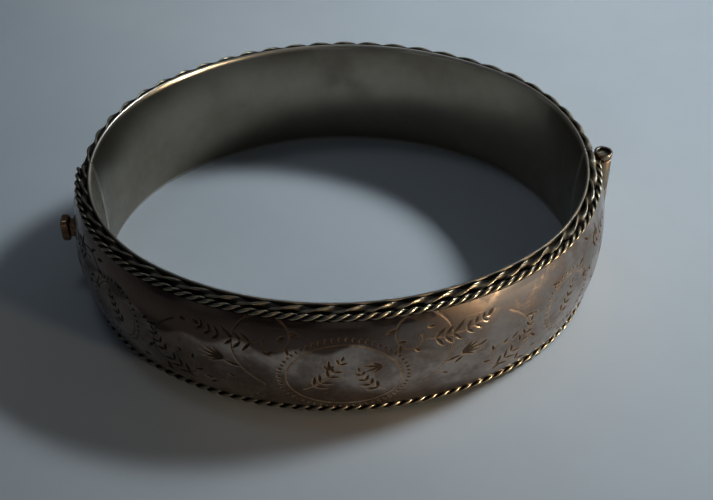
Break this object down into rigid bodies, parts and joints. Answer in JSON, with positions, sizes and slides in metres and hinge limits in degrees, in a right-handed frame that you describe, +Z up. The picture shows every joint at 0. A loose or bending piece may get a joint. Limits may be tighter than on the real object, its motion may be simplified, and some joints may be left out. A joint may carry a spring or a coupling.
{
  "type": "hinged bangle bracelet",
  "caption": "Hollow oval bangle in two halves with a barrel hinge, a box-and-tongue snap with a thumb button, an engraved domed front and twisted wire borders.",
  "frame": {"origin": "centre of the wrist opening, on the plane that the bangle rests on", "axes": "+X from the catch to the hinge, -Y towards the engraved front, +Z up along the wrist opening"},
  "size_m": [0.0668, 0.055, 0.0156],
  "materials": {
    "engraved_silver": "tarnished sterling silver, engraved, with smooth worn highlights",
    "plain_silver": "tarnished sterling silver, satin from wear",
    "liner_silver": "grey tarnished sterling silver with fine scratches",
    "twisted_wire": "twisted silver wire, bright on its ridges and dark in its recesses",
    "rope_wire": "fine roped silver wire, bright on its ridges and dark in its recesses",
    "hinge_silver": "worn silver tube",
    "inner_silver": "unpolished silver sheet",
    "button_silver": "low-grade silver with a coppery tarnish"
  },
  "bodies": {
    "front_half": {"front_shell": "engraved_silver", "front_liner": "liner_silver", "front_top_twist": "twisted_wire", "front_bottom_twist": "twisted_wire", "front_top_rope": "rope_wire", "front_bottom_rope": "rope_wire", "front_hinge_end_plate": "inner_silver", "front_catch_mouth_plate": "inner_silver", "front_knuckle_upper": "hinge_silver", "front_knuckle_lower": "hinge_silver", "catch_box": "inner_silver"},
    "back_half": {"back_shell": "plain_silver", "back_liner": "liner_silver", "back_top_twist": "twisted_wire", "back_bottom_twist": "twisted_wire", "back_hinge_end_plate": "inner_silver", "back_catch_end_plate": "inner_silver", "back_knuckle_top": "hinge_silver", "back_knuckle_middle": "hinge_silver", "back_knuckle_bottom": "hinge_silver", "hinge_pin": "inner_silver", "tongue_blade": "inner_silver"},
    "press_leaf": {"spring_leaf": "inner_silver", "button_stem": "button_silver", "thumb_button": "button_silver"}
  },
  "joints": [
    {"name": "bangle_hinge", "type": "hinge", "parent": "front_half", "child": "back_half", "pos_m": [0.0319, 0, 0.0078], "axis": [0, 0, -1], "range_deg": [0, 70]},
    {"name": "button_press", "type": "hinge", "parent": "back_half", "child": "press_leaf", "pos_m": [-0.03032, -0.00594, 0.0078], "axis": [0, 0, -1], "range_deg": [0, 6], "stiffness_Nm_per_rad": 0.08, "springref_deg": -2.86}
  ]
}
